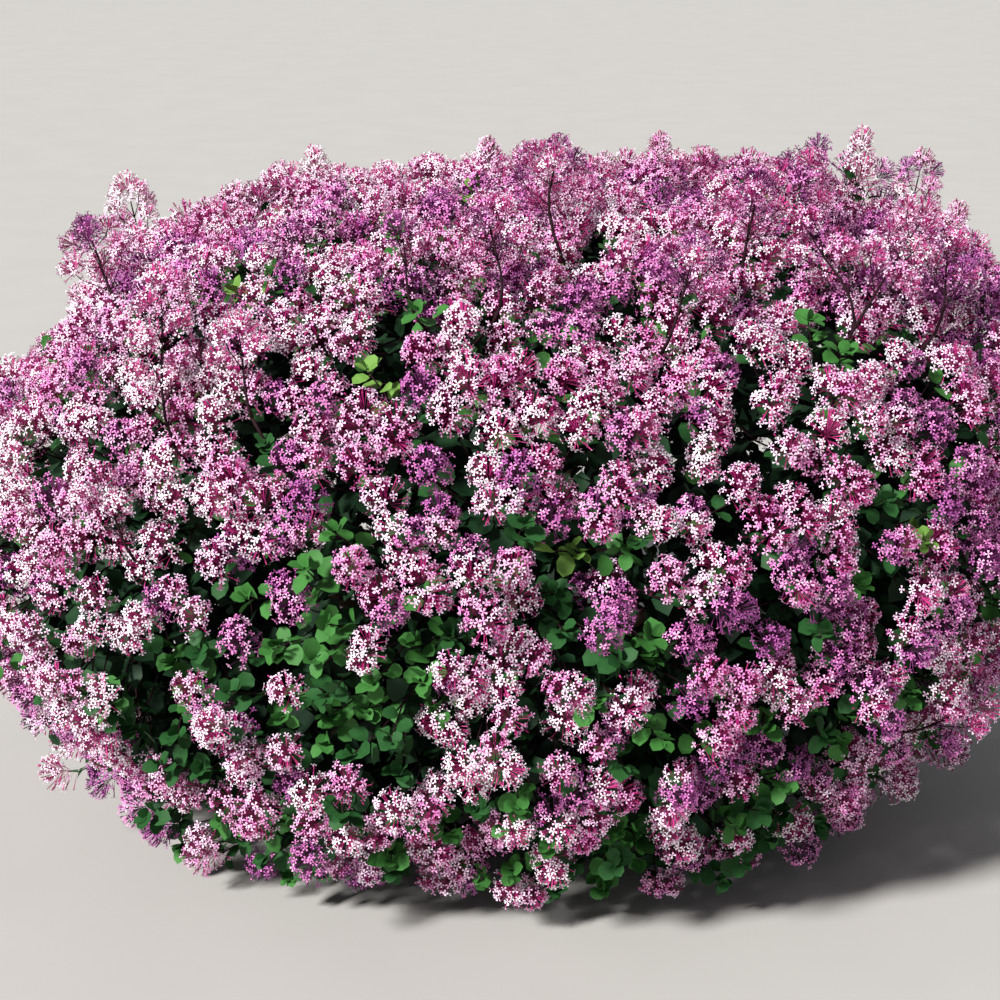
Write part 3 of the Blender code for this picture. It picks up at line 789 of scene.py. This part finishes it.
class Crown:
    """Gathers all that grows: twigs, leaves, and the panicles' petals, tubes and buds."""

    def __init__(self):
        self.chance = np.random.default_rng(SEED)
        self.pieces = {name: Gathered() for tints, *_ in KINDS for name in tints}
        self.twigs = self.pieces["twigs"]
        self.leaf_rows = {name: ([], []) for name in LEAF_TINTS}
        self.panicle_rows = []
        self.forks = []

    def grow(self, end, start, start_heading, tint):
        """Draws the twig that leads to an end, dresses it with leaves, and goes on from there."""
        line = unit(end.place - start)
        end_heading = end.axis if isinstance(end, Shoot) else unit(line + end.outward)
        path = arc(start, unit(start_heading + line), end.place, end_heading, TWIG_STEPS[end.rank])
        foot, tip = TWIG_RADII[end.rank]
        self.twigs.add(*tube(path, np.linspace(foot, tip, len(path)), TWIG_SIDES[end.rank]))
        self.dress(path, end, tint)
        if isinstance(end, Shoot):
            self.finish_shoot(end, tint)
            return
        self.forks.append(end.place)
        for child in end.ends:
            child_tint = self.leaf_tint(child) if end.rank == 1 else tint
            self.grow(child, end.place, end_heading, child_tint)

    def leaf_tint(self, end):
        """The green of a spray: lighter outside and on top, with some young shoots; the inner leaves get the
        darkest green, a painted shade.
        """
        light = LEAF_LIGHT_ABOVE * max(end.outward[2], 0)
        for most in LEAF_LIGHT_CHANCES:
            light += most * self.chance.random()
        light += LEAF_LIGHT_BY_SHOOT.get(end.bears, 0)
        return list(LEAF_TINTS)[np.searchsorted(LEAF_TINT_LIMITS, light)]

    def dress(self, path, end, tint):
        """Opposite pairs of leaves along a twig, each pair turned a quarter from the last."""
        places = distances_along(path)
        gap = LEAF_NODE_GAPS[end.rank]
        turn = self.chance.uniform(0, math.pi)
        is_high_panicle = end.bears == "panicles" and end.place[2] > WIDEST_HEIGHT
        bare = BARE_BELOW_PANICLE if is_high_panicle else BARE_BELOW_LEAVES
        distance = places[-1] - bare * (1 + BARE_JITTER * self.chance.uniform(-1, 1))
        length = INNER_SHOOT_LEAF if end.bears == "inner leaves" else LEAF_LENGTHS[end.rank]
        most = MOST_PAIRS[end.bears] - is_high_panicle
        while distance > gap / 2 and most > 0:
            most -= 1
            step = np.searchsorted(places, distance)
            share = (distance - places[step - 1]) / (places[step] - places[step - 1])
            node = path[step - 1] * (1 - share) + path[step] * share
            along = unit(path[step] - path[step - 1])
            self.leaf_pair(node, along, turn, end, tint, length, LEAF_SPREAD)
            turn += math.pi / 2
            distance -= gap * (1 + LEAF_GAP_JITTER * self.chance.uniform(-1, 1))

    def leaf_pair(self, node, along, turn, end, tint, length, spread):
        for side in (side_at(along, turn), side_at(along, turn + math.pi)):
            direction = tilted(along, side, spread + LEAF_SPREAD_JITTER * self.chance.normal())
            facing = UP + end.outward * LEAF_FACES_OUT + LEAF_FACING_JITTER * self.chance.normal(size=3)
            size = length * (1 + LEAF_SIZE_JITTER * self.chance.uniform(-1, 1))
            if (node + direction * size)[2] > GROUND_CLEARANCE:
                rows = self.leaf_rows[tint][end.bears in PLAIN_LEAVED]
                rows.append((*node, *direction, *facing, size))

    def finish_shoot(self, shoot, tint):
        """Panicles at the end of a flowering shoot, or young leaves at the end of a leafy one."""
        if shoot.bears == "spire":
            self.add_panicle(shoot.place, shoot.axis, shoot.length, shoot.axis)
            return
        if shoot.bears != "panicles":
            turn = self.chance.uniform(0, math.pi)
            for spread in TERMINAL_SPREADS:
                self.leaf_pair(shoot.place, shoot.axis, turn, shoot, tint, shoot.length, spread)
                turn += math.pi / 2
            return
        side = self.turned_side(shoot.axis)
        if self.chance.random() < PAIR_CHANCE:
            for spread in (PAIR_SPREAD, -PAIR_SPREAD):
                axis = tilted(shoot.axis, side, spread)
                self.add_panicle(shoot.place, axis, shoot.length, shoot.outward)
        else:
            self.add_panicle(shoot.place, shoot.axis, shoot.length * LONE_PANICLE_SHARE, shoot.outward)
        if self.chance.random() < SIDE_PANICLE_CHANCE:
            axis = tilted(shoot.axis, self.turned_side(shoot.axis), SIDE_PANICLE_SPREAD)
            base = shoot.place - shoot.axis * SIDE_PANICLE_BACK
            length = shoot.length * SIDE_PANICLE_SHARE + SIDE_PANICLE_BACK
            self.add_panicle(base, axis, length, shoot.outward)

    def add_long_shoot(self, foot, tip):
        """A dark shoot from the nearest fork, with pairs of side twigs that end in panicles."""
        fork = min(self.forks, key=lambda place: norm(place - foot))
        middle_heading = unit(unit(tip - foot) + unit(foot - fork))
        lower = arc(fork, unit(foot - fork), foot, middle_heading, LONG_SHOOT_STEPS[0])
        path = arc(foot, middle_heading, tip, unit(tip - foot), LONG_SHOOT_STEPS[1])
        self.twigs.add(*tube(lower, np.full(len(lower), LONG_SHOOT_RADII[0]), LONG_SHOOT_SIDES))
        self.twigs.add(*tube(path, np.linspace(*LONG_SHOOT_RADII, len(path)), LONG_SHOOT_SIDES))
        nodes = int(norm(tip - foot) / LONG_SHOOT_NODE_GAP)
        side = self.turned_side(unit(tip - foot))
        for number in range(1, nodes + 1):
            share = (number + LONG_SHOOT_NODE_JITTER * self.chance.random()) / (nodes + 1)
            part, step = math.modf(share * LONG_SHOOT_STEPS[1])
            step = int(step)
            node = path[step] * (1 - part) + path[step + 1] * part
            along = unit(path[step + 1] - path[step])
            side = unit(np.cross(along, side))
            length = np.interp(share, (0, 1), SIDE_TWIG_LENGTHS)
            for spread in (SIDE_TWIG_SPREAD, -SIDE_TWIG_SPREAD):
                direction = tilted(along, side, spread)
                twig = np.array((node, node + direction * length))
                self.twigs.add(*tube(twig, SIDE_TWIG_RADII, SIDE_TWIG_SIDES))
                self.add_panicle(twig[-1], unit(direction + along), LONG_SHOOT_PANICLE, along)
        end_panicle = LONG_SHOOT_PANICLE * END_PANICLE_SHARE
        self.add_panicle(tip, unit(path[-1] - path[-2]), end_panicle, along)

    def turned_side(self, axis):
        return side_at(axis, self.chance.uniform(0, 2 * math.pi))

    def add_panicle(self, base, axis, length, outward):
        """Notes a panicle, and how deep its pink is."""
        patch = noise.noise(Vector(base * PATCHES_PER_METRE + PATCH_OFFSET))
        # Deeper pink, in petals and tubes, towards the right side is painted shade.
        pink = PINK_MIDDLE + PINK_BY_PATCH * patch + PAINTED_SHADE_PINK_BY_PLACE * base[0]
        pink += PINK_BY_CHANCE * self.chance.normal()
        self.panicle_rows.append((*base, *axis, *outward, length, np.clip(pink, 0, DEEPEST_PINK)))

    def make_leaves(self):
        """All the leaves at once: the full shape at the shoots, and a plainer one on the inner twigs."""
        for tint, both in self.leaf_rows.items():
            for rows, shape in zip(both, (OUTER_LEAF, INNER_LEAF)):
                if rows:
                    corners = leaf_corners(np.array(rows), shape, self.chance)
                    self.pieces[tint].add_copies(corners, leaf_faces(len(shape[1])))

    def make_florets(self):
        """All the florets and buds at once: petals in their own tint, tubes and buds in the panicle's."""
        rows = np.array(self.panicle_rows)
        base, axis, _, rest = np.split(rows, VECTOR_ENDS, axis=1)
        rachises = cone_corners(base + axis * rest[:, :1] * RACHIS_SHARE, base, TWIG_RADII[0][1])
        self.twigs.add_copies(rachises, CONE_FACES)
        places, facing, roots, is_bud, pink, own_pink = lay_out_florets(rows, self.chance)
        petal_kind = tint_numbers(own_pink, PETAL_TINTS)
        for kind, name in enumerate(PETAL_TINTS):
            chosen = ~is_bud & (petal_kind == kind)
            corners = petal_corners(places[chosen], facing[chosen], self.chance)
            self.pieces[name].add_copies(corners, PETAL_FACES)
        tube_kind = tint_numbers(pink * TUBE_PINK_SHARE, TUBE_TINTS)
        for kind, name in enumerate(TUBE_TINTS):
            chosen = ~is_bud & (tube_kind == kind)
            corners = cone_corners(roots[chosen], places[chosen], TUBE_RADIUS)
            self.pieces[name].add_copies(corners, CONE_FACES[:TUBE_FACES])
            chosen = is_bud & (tube_kind == kind)
            tops = places[chosen] + facing[chosen] * BUD_LENGTH * BUD_OUT_SHARE
            corners = bud_corners(tops - facing[chosen] * BUD_LENGTH, tops)
            self.pieces[name].add_copies(corners, BUD_FACES)


def in_other_panicles(rows, places, owner):
    """Which florets lie deep inside a panicle that isn't their own."""
    tree = kdtree.KDTree(len(places))
    for number, place in enumerate(places):
        tree.insert(place, number)
    tree.balance()
    hidden = np.zeros(len(places), bool)
    for number, row in enumerate(rows):
        base, axis, _, (length, _) = np.split(row, VECTOR_ENDS)
        centre = base + axis * length / 2
        near = np.array([found[1] for found in tree.find_range(centre, length / 2)], int)
        near = near[owner[near] != number]
        from_centre = places[near] - centre
        along = from_centre @ axis
        aside = np.sqrt(np.maximum((from_centre**2).sum(axis=1) - along**2, 0))
        inside = (2 * along / length) ** 2 + (aside / panicle_radius(length)) ** 2 < HIDDEN_DEPTH_SHARE**2
        hidden[near[inside]] = True
    return hidden


def lay_out_florets(rows, chance):
    """Each floret that shows: its place, facing and tube's root, if it is a bud, and its pinks."""
    counts = np.round((FLORETS + BUDS) * rows[:, 9] / PANICLE_LENGTH).astype(int)
    first_turn = np.repeat(chance.uniform(0, 2 * math.pi, len(rows)), counts)
    number = np.concatenate([np.arange(count) for count in counts])
    owner = np.repeat(np.arange(len(rows)), counts)
    counts = counts[owner]
    base, axis, outward, rest = np.split(rows[owner], VECTOR_ENDS, axis=1)
    length, pink = rest.T
    order = number + FLORET_PLACE_JITTER * (chance.random(len(owner)) + 0.5)
    share = (order / counts) ** TIP_CROWDING
    from_fullest = (share - PANICLE_FULLEST) / PANICLE_ROUNDNESS
    bulge = np.sqrt(np.clip(1 - from_fullest**2, LEAST_BULGE, 1))
    turn = number * GOLDEN_ANGLE + first_turn + FLORET_TURN_JITTER * chance.normal(size=len(owner))
    lobes = np.cos(LOBE_ROWS * (turn - first_turn)) * np.cos(2 * math.pi * LOBE_TIERS * share)
    jitter = FLORET_DEPTH_JITTER * chance.normal(size=len(owner)).clip(*FLORET_DEPTH_LIMITS)
    radius = panicle_radius(length) * bulge * (1 + LOBE_HEIGHT * lobes + jitter)
    radial = side_at(axis, turn[:, None])
    tilt = np.radians(np.interp(share**FLORET_TILT_POWER, (0, 1), FLORET_TILTS))
    facing = radial * np.cos(tilt)[:, None] + axis * np.sin(tilt)[:, None]
    facing = unit(facing + FACING_JITTER * chance.normal(size=facing.shape))
    height = length * (PANICLE_NECK + (1 - PANICLE_NECK) * share)
    places = base + axis * height[:, None] + radial * radius[:, None]
    root_height = height - radius * np.maximum(np.tan(tilt), LEAST_TUBE_SLOPE)
    roots = base + axis * np.maximum(root_height, length * LOWEST_TUBE_ROOT)[:, None]
    shown = ((facing * outward).sum(axis=1) > HIDDEN_SIDE) & (places[:, 2] > GROUND_CLEARANCE)
    shown &= ~in_other_panicles(rows, places, owner)
    is_bud = (number >= counts - BUDS) | (chance.random(len(owner)) < BUD_CHANCE)
    own_pink = pink + FLORET_PINK_JITTER * chance.normal(size=len(owner))
    return [values[shown] for values in (places, facing, roots, is_bud, pink, own_pink)]


def tint_numbers(pinks, tints):
    """Which of the tints, from the palest to the deepest, stands for each depth of pink."""
    return (np.clip(pinks, 0, DEEPEST_PINK) * len(tints)).astype(int)


def panicle_radius(length):
    """Half a panicle's width. The longest are slimmer."""
    return PANICLE_WIDTH_SHARE * np.minimum(length, LONGEST_ROUND_PANICLE**2 / length)


def petal_corners(places, facing, chance):
    """Four petals round each place: the middle, then the two outer corners of each petal."""
    column = (len(places), 1)
    roll = chance.uniform(0, math.pi / 2, column)
    span = PETAL_LENGTH * (1 + PETAL_LENGTH_JITTER * chance.uniform(-1, 1, column))
    corners = [places]
    for quarter_turn in turns_round(PETALS):
        along = side_at(facing, roll + quarter_turn + PETAL_TURN_JITTER * chance.normal(size=column))
        half = np.cross(facing, along) * span * PETAL_WIDTH_SHARE / 2
        lift = PETAL_LIFT + PETAL_LIFT_JITTER * chance.normal(size=column)
        end = places + (along + facing * lift) * span
        corners += [end + half, end - half]
    return np.stack(corners, axis=1)


def cone_corners(points, rims, radius):
    """Slender cones, each as its point and then three corners round its rim."""
    axes = unit(rims - points)
    rim = [rims + radius * side_at(axes, turn) for turn in turns_round(CONE_SIDES)]
    return np.stack([points] + rim, axis=1)


def bud_corners(roots, tops):
    """A small club for each bud: a cone that widens to near its end, and then its end."""
    rims = roots * (1 - BUD_FULLEST) + tops * BUD_FULLEST
    return np.concatenate((cone_corners(roots, rims, BUD_RADIUS), tops[:, None]), axis=1)


def leaf_corners(rows, shape, chance):
    """Broad leaves on short stalks, folded along the midrib and curled down towards the tip."""
    roots, directions, facing, lengths = np.split(rows, VECTOR_ENDS, axis=1)
    facing = unit(facing - directions * (facing * directions).sum(axis=1)[:, None])
    across = np.cross(facing, directions)
    curl = LEAF_CURL * (1 + LEAF_CURL_JITTER * chance.normal(size=lengths.shape))

    def on_midrib(share):
        return roots + directions * lengths * share - facing * lengths * curl * share**2

    midrib, sides = shape
    corners = [roots + across * PETIOLE_HALF_WIDTH, roots - across * PETIOLE_HALF_WIDTH]
    corners += [on_midrib(share) for share in midrib]
    for sign in (1, -1):
        for share, width in sides:
            half = lengths * LEAF_WIDTH_SHARE * width
            corners.append(on_midrib(share) + across * sign * half + facing * half * LEAF_FOLD)
    return np.stack(corners, axis=1)


def leaf_faces(side_count):
    """The stalk, then the blade on each side of the midrib, which has one place more than a side has."""
    midrib = 2
    faces = [(0, 1, midrib)]
    for flip in (False, True):
        side = midrib + side_count + 1 + side_count * flip
        half = [(midrib + step, midrib + step + 1, side + step) for step in range(side_count)]
        half += [(midrib + step, side + step, side + step - 1) for step in range(1, side_count)]
        faces += [face[::-1] for face in half] if flip else half
    return np.array(faces)


# Materials.
def set_inputs(tree, node, values):
    """Sets a node's inputs by name. A value that is another node's output is linked."""
    for name, value in values.items():
        if isinstance(value, bpy.types.NodeSocket):
            tree.links.new(value, node.inputs[name])
        else:
            node.inputs[name].default_value = value


def add_node(tree, kind, output, **values):
    """Adds a node with these inputs, and returns the named output."""
    node = tree.nodes.new("ShaderNode" + kind)
    set_inputs(tree, node, values)
    return node.outputs[output]


def plant_material(
    name, colour, roughness, gloss=0.3, fleck=0.12, flecks_per_metre=90.0, bump=0.15, bump_depth=0.0006
):
    """A procedural finish: fine flecks in the colour, an uneven sheen and a fine relief."""
    material = bpy.data.materials.new(name)
    material.use_nodes = True
    tree = material.node_tree
    place = add_node(tree, "TexCoord", "Object")
    flecks = add_node(tree, "TexNoise", "Fac", Vector=place, Scale=flecks_per_metre, Detail=FLECK_DETAIL)
    tints = add_node(tree, "ValToRGB", "Color", Fac=flecks)
    middle = from_screen(colour)
    for end, edge, change in zip(tints.node.color_ramp.elements, FLECK_EDGES, (-fleck, fleck)):
        end.position = edge
        end.color = (*np.clip(middle * (1 + change), 0, LIGHTEST), 1)
    ends = {"To Min": roughness - SHEEN_SWING, "To Max": roughness + SHEEN_SWING}
    sheen = add_node(tree, "MapRange", "Result", Value=flecks, **ends)
    grain = add_node(tree, "TexNoise", "Fac", Vector=place, Scale=flecks_per_metre * GRAINS_PER_FLECK)
    relief = add_node(tree, "Bump", "Normal", Height=grain, Strength=bump, Distance=bump_depth)
    finish = {"Base Color": tints, "Roughness": sheen, "Normal": relief, "Specular IOR Level": gloss}
    set_inputs(tree, tree.nodes["Principled BSDF"], finish)
    return material


# Bark.
def relief_at(points, along, amount):
    """Furrows that run along a limb: noise stretched in its direction, from -amount to amount."""
    places = [Vector((*point, height)) for point, height in zip(points, along)]
    return amount * np.array([noise.fractal(place, *RELIEF_NOISE) for place in places])


def bark_limb(path, radii):
    """A limb with furrowed bark, as corners and triangles."""
    corners, faces = tube(path, radii, LIMB_SIDES)
    centres = path[:, None]
    turn = turns_round(LIMB_SIDES)
    ring = RELIEF_TURNS * np.stack((np.cos(turn), np.sin(turn)), axis=1)
    points = np.tile(ring, (len(path), 1))
    along = np.repeat(distances_along(path) * RELIEF_ALONG + path[0][0] * RELIEF_OFFSET, LIMB_SIDES)
    relief = relief_at(points, along, LIMB_RELIEF).reshape(len(path), LIMB_SIDES, 1)
    return centres + (corners - centres) * (1 + relief), faces


def bark_stem(masses):
    """The main stem and its stubs as one furrowed body, with a flat cut at the ground."""
    heights = np.arange(0, STEM_RINGS[-1][0] + STEM_RING_STEP / 2, STEM_RING_STEP)
    ring_heights, ring_radii = zip(*STEM_RINGS)
    radii = np.interp(heights, ring_heights, ring_radii)
    turn = turns_round(STEM_SIDES)
    fade = (1 - heights / ring_heights[-1])[:, None]
    width = radii[:, None] * (1 + STEM_FLARE * fade**3 * np.cos(STEM_LOBES * turn))
    lean = STEM_HEAD[0] * np.clip(heights / STEM_HEAD[2], 0, 1)[:, None]
    level = np.broadcast_to(heights[:, None], width.shape)
    rings = np.stack((width * np.cos(turn) + lean, width * np.sin(turn), level), axis=-1)
    gathered = Gathered()
    gathered.add(rings, tube_faces(len(heights), STEM_SIDES))
    for mass in masses:
        foot = STEM_HEAD + mass.start_heading * STUB_ROOT
        path = np.array((foot, mass.start))
        gathered.add(*tube(path, (STUB_FOOT_RADIUS, BOUGH_FOOT_RADIUS), LIMB_SIDES))
    draft = mesh_object("draft", *gathered.arrays(), BARK)
    remesh = draft.modifiers.new("skin", "REMESH")
    remesh.mode = "VOXEL"
    remesh.voxel_size = STEM_VOXEL
    graph = bpy.context.evaluated_depsgraph_get()
    mesh = bpy.data.meshes.new_from_object(draft.evaluated_get(graph))
    bpy.data.objects.remove(draft, do_unlink=True)
    corners = vertex_vectors(mesh, "co")
    distance = norm(corners - STEM_HEAD, axis=1)
    around = unit(corners - STEM_HEAD) * STEM_RELIEF_AROUND
    relief = relief_at(around[:, :2], around[:, 2] + distance * STEM_RELIEF_OUT, STEM_RELIEF)
    corners += vertex_vectors(mesh, "normal") * relief[:, None]
    corners[corners[:, 2] < STEM_VOXEL, 2] = 0
    mesh.vertices.foreach_set("co", corners.ravel())
    mesh.shade_smooth()
    return linked_object("bark_main_stem", mesh)


def build_bark(masses):
    """A limb of bark for the main stem and for each bough, in the place of its node."""
    stem = bark_stem(masses)
    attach(stem, "root")
    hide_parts("main_stem")
    for mass in masses:
        start = mass.start + mass.start_heading * JOINT_GAP
        path = arc(start, mass.start_heading, mass.tip, mass.end_heading, LIMB_STEPS)
        corners, faces = bark_limb(path, np.linspace(BOUGH_FOOT_RADIUS, BOUGH_TIP_RADIUS, len(path)))
        bough = mesh_object("bark_bough_" + mass.name, corners.reshape(-1, 3), faces, BARK)
        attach(bough, "root")
        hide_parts("bough_" + mass.name)


def build_crown(masses):
    """Grows every mass from its own stem, then makes one piece of each kind and tint."""
    crown = Crown()
    deal_out_shoots(masses, crown.chance)
    for mass in masses:
        root = mass.tip + mass.end_heading * JOINT_GAP
        stem = np.linspace(root, mass.centre, MASS_STEM_STEPS + 1)
        crown.twigs.add(*bark_limb(stem, np.linspace(BOUGH_TIP_RADIUS, MASS_STEM_TIP_RADIUS, len(stem))))
        ends = mass.shoots
        for _ in FORK_DEPTHS:
            ends = pair_up(ends, mass.centre)
        for branch in ends:
            start = root + (mass.centre - root) * crown.chance.uniform(TWIG_START_SHARE, 1)
            crown.grow(branch, start, mass.end_heading, "leaves_dark")
    for foot, tip in long_shoots(crown.chance):
        crown.add_long_shoot(foot, tip)
    crown.make_leaves()
    crown.make_florets()
    mass_nodes = ["blossom_" + mass.name for mass in masses]
    for tints, slot, roughness, gloss in KINDS:
        for name, tint in tints.items():
            material = plant_material(name, tint, roughness, gloss)
            corners, faces = crown.pieces[name].arrays()
            parts = math.ceil(len(faces) / MOST_TRIANGLES)
            for part, chosen in enumerate(np.array_split(faces, parts)):
                used, renumbered = np.unique(chosen, return_inverse=True)
                label = name if parts == 1 else f"{name}_{part + 1}"
                piece = mesh_object(label, corners[used], renumbered.reshape(-1, 3), material)
                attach(piece, "root")
                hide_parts(*mass_nodes)


# The floor, the light and the camera.
def build_stage():
    material = plant_material(
        "floor_material", FLOOR_TINT, roughness=0.85, fleck=0.015, flecks_per_metre=3.0, bump=0.02
    )
    corners = FLOOR_HALF_WIDTH * np.array(((-1, -1, 0), (1, -1, 0), (1, 1, 0), (-1, 1, 0)), float)
    floor = mesh_object("floor", corners, np.array(((0, 1, 2), (0, 2, 3))), material)


def build_light():
    scene = bpy.context.scene
    scene.world = bpy.data.worlds.new("sky")
    scene.world.use_nodes = True
    tree = scene.world.node_tree
    set_inputs(tree, tree.nodes["Background"], {"Color": SKY_COLOUR, "Strength": SKY_STRENGTH})
    light = bpy.data.lights.new("key", "SUN")
    light.energy = SUN_ENERGY
    light.angle = math.radians(SUN_WIDTH)
    light.color = SUN_COLOUR
    key = linked_object("key", light)
    key.rotation_euler = Vector(SUN_TOWARDS).to_track_quat("Z", "Y").to_euler()
    scene.view_settings.view_transform = "Standard"


def build_camera():
    camera = bpy.data.cameras.new("camera")
    camera.lens = LENS
    camera.sensor_width = SENSOR
    eye = linked_object("camera", camera)
    place, forward, right, above = camera_axes()
    turned = Matrix((right, above, -forward)).transposed().to_4x4()
    eye.matrix_world = Matrix.Translation(Vector(place)) @ turned
    bpy.context.scene.camera = eye


BARK = plant_material(
    "bark_material", BARK_TINT, roughness=0.85, fleck=0.35, flecks_per_metre=60.0, bump=0.5, bump_depth=0.001
)
build_camera()
build_stage()
build_light()
all_masses = make_masses()
build_bark(all_masses)
build_crown(all_masses)
